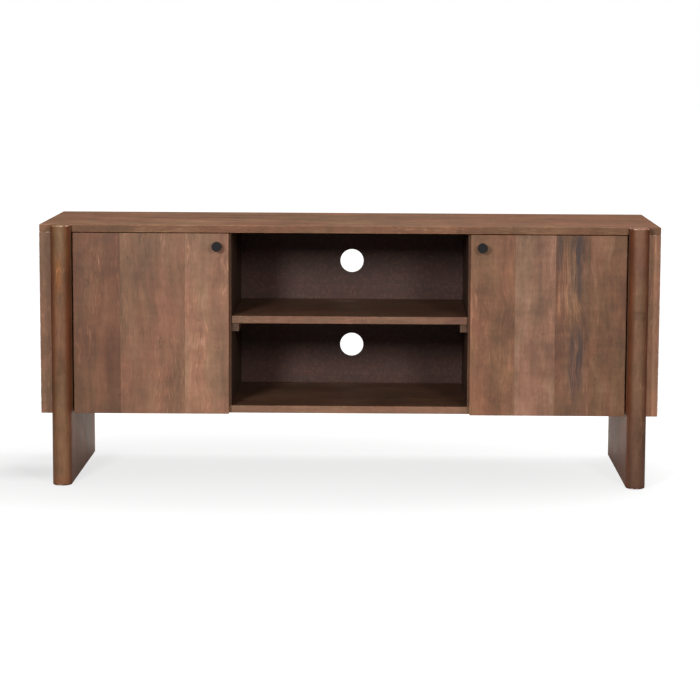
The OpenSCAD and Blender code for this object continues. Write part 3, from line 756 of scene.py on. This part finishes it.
# ---------------------------------------------------------------- screws and bolts
def islands(node):
    """The separate solids in a CAD node, as lists of their points."""
    mesh = nodes[node].data
    key = [tuple(round(x * 1e5) for x in v.co) for v in mesh.vertices]
    parent = {k: k for k in key}

    def root(k):
        while parent[k] != k:
            parent[k] = parent[parent[k]]
            k = parent[k]
        return k

    for poly in mesh.polygons:
        ks = [key[i] for i in poly.vertices]
        for k in ks[1:]:
            parent[root(k)] = root(ks[0])
    groups = {}
    for k, v in zip(key, mesh.vertices):
        groups.setdefault(root(k), []).append(v.co.copy())
    return list(groups.values())


def screw_shape(points, drive):
    """A round-headed screw on the place of one plain CAD screw, with a driver recess in its head."""
    low = Vector([min(p[i] for p in points) for i in range(3)])
    high = Vector([max(p[i] for p in points) for i in range(3)])
    size = high - low
    k = max(range(3), key=lambda i: size[i])
    mid = (low + high) / 2
    long_way = Vector([1 if i == k else 0 for i in range(3)])
    far = [((p - mid) - (p - mid)[k] * long_way).length for p in points]
    head_r = max(far)
    head = [p[k] for p, f in zip(points, far) if f > head_r * 0.98]
    shank_r = min(f for f in far if f > head_r * 0.2)
    outer = sum(head) / len(head) > mid[k]
    sign = 1 if outer else -1
    ends = sorted([min(head), max(head)], key=lambda v: sign * v)
    tail = low[k] if outer else high[k]
    seat = (ends[0] - tail) * sign
    crown = abs(ends[1] - ends[0])
    length = size[k]
    top = min(seat + crown, length)
    tip = shank_r * 1.6
    profile = [(0, 0), (shank_r * 0.25, 0.0), (shank_r, tip), (shank_r, seat), (head_r, seat),
               (head_r, seat + crown * 0.35), (head_r * 0.93, seat + crown * 0.72),
               (head_r * 0.72, seat + crown * 0.93), (head_r * 0.4, top), (0, top)]
    bm = turned(profile, 32)
    mesh = to_mesh(bm, "screw")
    cuts = []
    if drive == "cross":
        for turn in (45, 135):
            c = bmesh.new()
            spin = Matrix.Rotation(math.radians(turn), 4, "Z")
            slot_size = Matrix.Diagonal((head_r * 1.15, head_r * 0.26, crown * 0.95, 1))
            bmesh.ops.create_cube(c, size=1.0, matrix=Matrix.Translation((0, 0, top)) @ spin @ slot_size)
            cuts.append(c)
    else:
        c = bmesh.new()
        bmesh.ops.create_cone(c, cap_ends=True, segments=6, radius1=head_r * 0.48, radius2=head_r * 0.48,
                              depth=crown * 1.3, matrix=Matrix.Translation((0, 0, top)))
        cuts.append(c)
    done = finish_mesh("screw", mesh, 0.00008, 1, cuts, angle=50)
    start = mid.copy()
    start[k] = tail
    axis = Vector([sign if i == k else 0 for i in range(3)])
    swing = Vector((0, 0, 1)).rotation_difference(axis).to_matrix().to_4x4()
    done.transform(Matrix.Translation(start) @ swing)
    return done


def screws(node, body, drive="cross"):
    """Replaces every plain screw in a CAD node by a shaped one."""
    bm = bmesh.new()
    for points in islands(node):
        bm.from_mesh(screw_shape(points, drive))
    mesh = bpy.data.meshes.new(node + "_turned")
    bm.to_mesh(mesh)
    bm.free()
    mesh.materials.clear()
    mesh.materials.append(zinc)
    for poly in mesh.polygons:
        poly.material_index = 0
        poly.use_smooth = True
    mesh.set_sharp_from_angle(angle=math.radians(35))
    link(node + "_turned", mesh, body, [node])


for node in ("plate_screws", "arm_screws", "back_screws", "cleat_screws", "catch_screws"):
    screws(node, "cabinet")
screws("leg_bolts", "cabinet", "hex")
for side in ("left", "right"):
    screws(f"cup_screws_{side}", f"door_{side}")
    screws(f"strike_screws_{side}", f"door_{side}")
    screws(f"knob_screw_{side}", f"door_{side}")

# ---------------------------------------------------------------- hardware that keeps its CAD shape
for side in ("left", "right"):
    for end in ("upper", "lower"):
        dress(f"cup_{side}_{end}", nickel, 0.00025)
        dress(f"arm_{side}_{end}", nickel, 0.0004)
        dress(f"plate_{side}_{end}", nickel, 0.0004)
        dress(f"pin_{side}_{end}", nickel, 0.0002)
    dress(f"strike_{side}", zinc, 0.0002)
    dress(f"catch_{side}", plastic, 0.0006)
    dress(f"bumpers_{side}", plastic, 0.0002)
dress("panel_dowels", dowel_mat, 0.0004)
dress("glides", plastic, 0.0006)

# ---------------------------------------------------------------- floor, light and colour
floor_mesh = bpy.data.meshes.new("floor")
floor_mesh.from_pydata([(-30, -30, 0), (30, -30, 0), (30, 30, 0), (-30, 30, 0)], [], [(0, 1, 2, 3)])
floor = bpy.data.objects.new("floor", floor_mesh)
bpy.context.scene.collection.objects.link(floor)
ft = Tree("floor_white")
ft.set(Base_Color=(0.25, 0.25, 0.25, 1), Roughness=0.9)
ft.bsdf.inputs["Specular IOR Level"].default_value = 0.05
seen = ft.t.nodes.new("ShaderNodeLightPath").outputs["Is Camera Ray"]
ft.put(ft.bsdf.inputs["Emission Color"], ft.mix(seen, (1.0, 0.89, 0.80), (1.0, 1.0, 1.0)))
spot = ft.split(ft.t.nodes.new("ShaderNodeTexCoord").outputs["Object"])


def distance(kx, x0, ky, y0):
    """How far a place on the floor is from an ellipse's middle, as (kx * x + x0, ky * y + y0)."""
    u = ft.math("MULTIPLY_ADD", spot[0], kx, x0)
    v = ft.math("MULTIPLY_ADD", spot[1], ky, y0)
    return ft.math("SQRT", ft.math("ADD", ft.math("POWER", u, 2.0), ft.math("POWER", v, 2.0)))


side_way = ft.math("ABSOLUTE", spot[0])
depth_way = ft.math("ABSOLUTE", spot[1])
# what the camera sees: a soft pool of shade under the cabinet and a darker spot beside the left leg
lit = ft.span(distance(0.6, 0.12, 1.0, 0.10), 0.30, 1.25, 0.72, 1.02)
lit = ft.math("SUBTRACT", lit, ft.span(distance(5.6, 4.5, 7.0, 0.35), 1.0, 0.1, 0.0, 0.10))
# what lights the cabinet: bright around it, dim beneath it and bright behind it
bounce = ft.span(distance(0.6, 0.0, 1.0, 0.0), 0.5, 1.3, 0.80, 0.04)
under = ft.math("MULTIPLY", ft.span(side_way, 0.82, 0.66), ft.span(depth_way, 0.30, 0.18))
bounce = ft.math("MULTIPLY", bounce, ft.math("MULTIPLY_ADD", under, -0.55, 1.0))
behind = ft.math("MULTIPLY", ft.span(spot[1], 0.27, 0.42), ft.span(side_way, 1.2, 0.8))
bounce = ft.math("MULTIPLY_ADD", behind, 0.70, bounce)
unseen = ft.math("SUBTRACT", 1.0, seen)
glow = ft.math("ADD", ft.math("MULTIPLY", seen, lit), ft.math("MULTIPLY", unseen, bounce))
ft.put(ft.bsdf.inputs["Emission Strength"], glow)
floor_mesh.materials.append(ft.mat)

scene = bpy.context.scene
scene.view_settings.view_transform = "Standard"
scene.view_settings.look = "None"
scene.view_settings.exposure = 0.0
world = bpy.data.worlds.new("studio")
scene.world = world
world.use_nodes = True
wt = world.node_tree
sky = wt.nodes["Background"]
way = wt.nodes.new("ShaderNodeTexCoord").outputs["Generated"]
split = wt.nodes.new("ShaderNodeSeparateXYZ")
wt.links.new(way, split.inputs[0])
dome = wt.nodes.new("ShaderNodeMapRange")
dome.inputs["From Min"].default_value = 0.0
dome.inputs["From Max"].default_value = 1.0
dome.inputs["To Min"].default_value = 0.05
dome.inputs["To Max"].default_value = 0.50
wt.links.new(split.outputs[2], dome.inputs[0])
pick = wt.nodes.new("ShaderNodeMix")
wt.links.new(wt.nodes.new("ShaderNodeLightPath").outputs["Is Camera Ray"], pick.inputs[0])
wt.links.new(dome.outputs[0], pick.inputs[2])
pick.inputs[3].default_value = 1.0
wt.links.new(pick.outputs[0], sky.inputs[1])
sky.inputs[0].default_value = (1, 1, 1, 1)


def softbox(name, place, target, width, height, watts):
    """A rectangular lamp at place that faces target."""
    data = bpy.data.lights.new(name, "AREA")
    data.shape = "RECTANGLE"
    data.size = width
    data.size_y = height
    data.energy = watts
    obj = bpy.data.objects.new(name, data)
    obj.location = place
    obj.rotation_euler = (Vector(target) - Vector(place)).to_track_quat("-Z", "Y").to_euler()
    scene.collection.objects.link(obj)


softbox("key_left", (-1.28, -3.5, 1.56), (0, -0.1, 0.4), 0.50, 0.65, 88)
softbox("key_right", (1.40, -3.5, 1.56), (0, -0.1, 0.4), 0.50, 0.65, 55)
softbox("overhead", (0.7, 0.75, 2.6), (0, 0, 0.3), 2.0, 1.3, 47)
